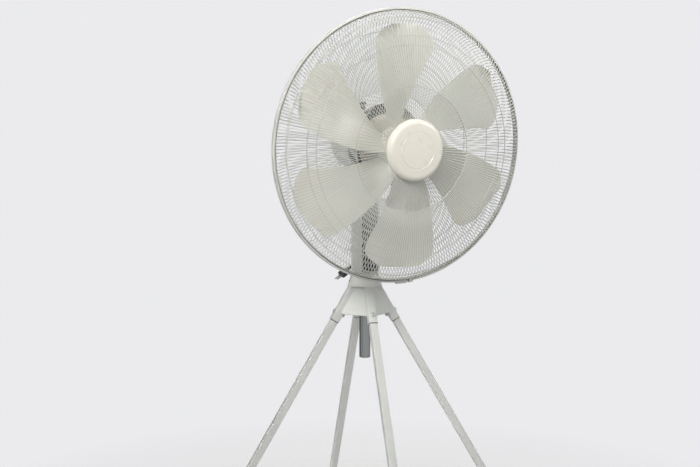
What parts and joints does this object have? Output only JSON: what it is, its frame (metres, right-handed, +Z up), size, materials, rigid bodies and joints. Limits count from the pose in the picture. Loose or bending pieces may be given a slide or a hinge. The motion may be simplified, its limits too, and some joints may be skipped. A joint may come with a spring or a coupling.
{
  "type": "pedestal fan",
  "caption": "Large oscillating pedestal fan: caged fan head on a sliding pole carried by a splayed stand of square-tube legs.",
  "frame": {"origin": "on the floor, on the axis of the sliding pole, midway between the feet", "axes": "+Z up along the pole; the head faces -Y at rest; +X is to the right seen from the front"},
  "size_m": [0.8952, 0.8952, 1.3638],
  "materials": {
    "painted_grey": "semi-gloss light grey powder coat",
    "rubber": "matt black rubber",
    "bolt_steel": "zinc-plated steel",
    "collar_enamel": "pale cream-grey enamel",
    "knob_plastic": "fine-grained black plastic",
    "pole_chrome": "polished plated steel",
    "cast_metal": "as-cast grey aluminium",
    "machined_steel": "turned steel",
    "neck_plastic": "light grey satin plastic",
    "panel_plastic": "black satin plastic",
    "switch_body": "grey phenolic",
    "capacitor_case": "black resin",
    "cord_pvc": "dark grey soft PVC",
    "housing_black": "satin black paint on cast aluminium",
    "laminations": "stacked steel laminations",
    "copper_wire": "varnished copper wire",
    "cover_plastic": "light grey satin plastic",
    "guard_wire": "pale grey powder-coated wire",
    "guard_band": "pale grey powder-coated strip",
    "cream_plastic": "cream satin plastic",
    "gear_nylon": "natural nylon",
    "blade_plastic": "pale grey-green moulded plastic"
  },
  "bodies": {
    "stand": {"stand_head": "painted_grey", "leg_front": "painted_grey", "leg_right": "painted_grey", "leg_rear": "painted_grey", "leg_left": "painted_grey", "feet": "rubber", "leg_bolts": "bolt_steel", "pole_collar": "collar_enamel", "collar_screws": "bolt_steel"},
    "clamp_knob": {"clamp_knob": "knob_plastic"},
    "mast": {"pole": "pole_chrome", "pole_end_cap": "knob_plastic", "neck_casting": "cast_metal", "neck_cover": "neck_plastic", "neck_panel": "panel_plastic", "speed_switch": "switch_body", "capacitor": "capacitor_case", "tilt_bolt": "bolt_steel", "cord_gland": "cord_pvc", "cord_lead": "cord_pvc", "cord_coil": "cord_pvc", "coil_tie": "cord_pvc", "cord_tail": "cord_pvc", "plug": "cord_pvc", "plug_pins": "bolt_steel", "cord_hook": "neck_plastic"},
    "speed_knob": {"speed_knob": "knob_plastic"},
    "tilt_bracket": {"tilt_bracket": "cast_metal", "pan_pin": "machined_steel", "pan_washer": "bolt_steel"},
    "tilt_knob": {"tilt_knob": "knob_plastic"},
    "head": {"pivot_bracket": "cast_metal", "rear_housing": "housing_black", "front_housing": "housing_black", "stator": "laminations", "windings": "copper_wire", "front_bearing": "bolt_steel", "rear_bearing": "bolt_steel", "rear_cover": "cover_plastic", "gearbox_case": "cast_metal", "gearbox_lid": "cast_metal", "guard_plate": "housing_black", "rear_guard": "guard_wire", "guard_nut": "cream_plastic", "front_guard": "guard_wire", "rim_band": "guard_band", "rim_clip": "cream_plastic", "cap": "cream_plastic"},
    "rotor": {"motor_shaft": "machined_steel", "rotor_core": "laminations", "worm": "gear_nylon", "blade_hub": "machined_steel", "fan_blades": "blade_plastic", "blade_nut": "machined_steel"},
    "worm_wheel": {"worm_wheel": "gear_nylon"},
    "crank_gear": {"crank_gear": "gear_nylon"},
    "link_rod": {"link_rod": "machined_steel"},
    "clutch_knob": {"clutch_knob": "knob_plastic"}
  },
  "joints": [
    {"name": "height_slide", "type": "slide", "parent": "stand", "child": "mast", "axis": [0, 0, 1], "range_m": [0, 0.12]},
    {"name": "clamp_turn", "type": "hinge", "parent": "stand", "child": "clamp_knob", "pos_m": [0, 0, 0.719], "axis": [0.4321, 0.9018, 0], "range_deg": [0, 360]},
    {"name": "speed_turn", "type": "hinge", "parent": "mast", "child": "speed_knob", "pos_m": [0, -0.03, 0.8], "axis": [0, -1, 0], "range_deg": [-135, 0]},
    {"name": "head_tilt", "type": "hinge", "parent": "mast", "child": "tilt_bracket", "pos_m": [0, 0, 0.955], "axis": [1, 0, 0], "range_deg": [-20, 9]},
    {"name": "tilt_lock_turn", "type": "hinge", "parent": "mast", "child": "tilt_knob", "pos_m": [0.03, 0, 0.955], "axis": [1, 0, 0], "range_deg": [0, 360]},
    {"name": "head_pan", "type": "hinge", "parent": "tilt_bracket", "child": "head", "pos_m": [0, 0, 0.955], "axis": [0, -0.1045, 0.9945], "range_deg": [-35, 35]},
    {"name": "fan_spin", "type": "hinge", "parent": "head", "child": "rotor", "pos_m": [0, -0.01134, 1.06291], "axis": [0, -0.9945, -0.1045], "continuous": true},
    {"name": "worm_wheel_spin", "type": "hinge", "parent": "head", "child": "worm_wheel", "pos_m": [0.02, 0.03043, 1.0673], "axis": [0, -0.1045, 0.9945], "continuous": true},
    {"name": "crank_spin", "type": "hinge", "parent": "head", "child": "crank_gear", "pos_m": [0.006, 0.01498, 1.04204], "axis": [0, -0.1045, 0.9945], "continuous": true},
    {"name": "link_swing", "type": "hinge", "parent": "tilt_bracket", "child": "link_rod", "pos_m": [-0.03, 0.01639, 1.02862], "axis": [0, -0.1045, 0.9945], "range_deg": [-20, 20]},
    {"name": "clutch_pull", "type": "slide", "parent": "head", "child": "clutch_knob", "axis": [0, -0.1045, 0.9945], "range_m": [0, 0.006]}
  ],
  "couplings": [
    {"joint": "worm_wheel_spin", "follows": "fan_spin", "ratio": 0.033333},
    {"joint": "crank_spin", "follows": "fan_spin", "ratio": -0.009259},
    {"joint": "link_swing", "follows": "head_pan", "ratio": 0.55}
  ]
}
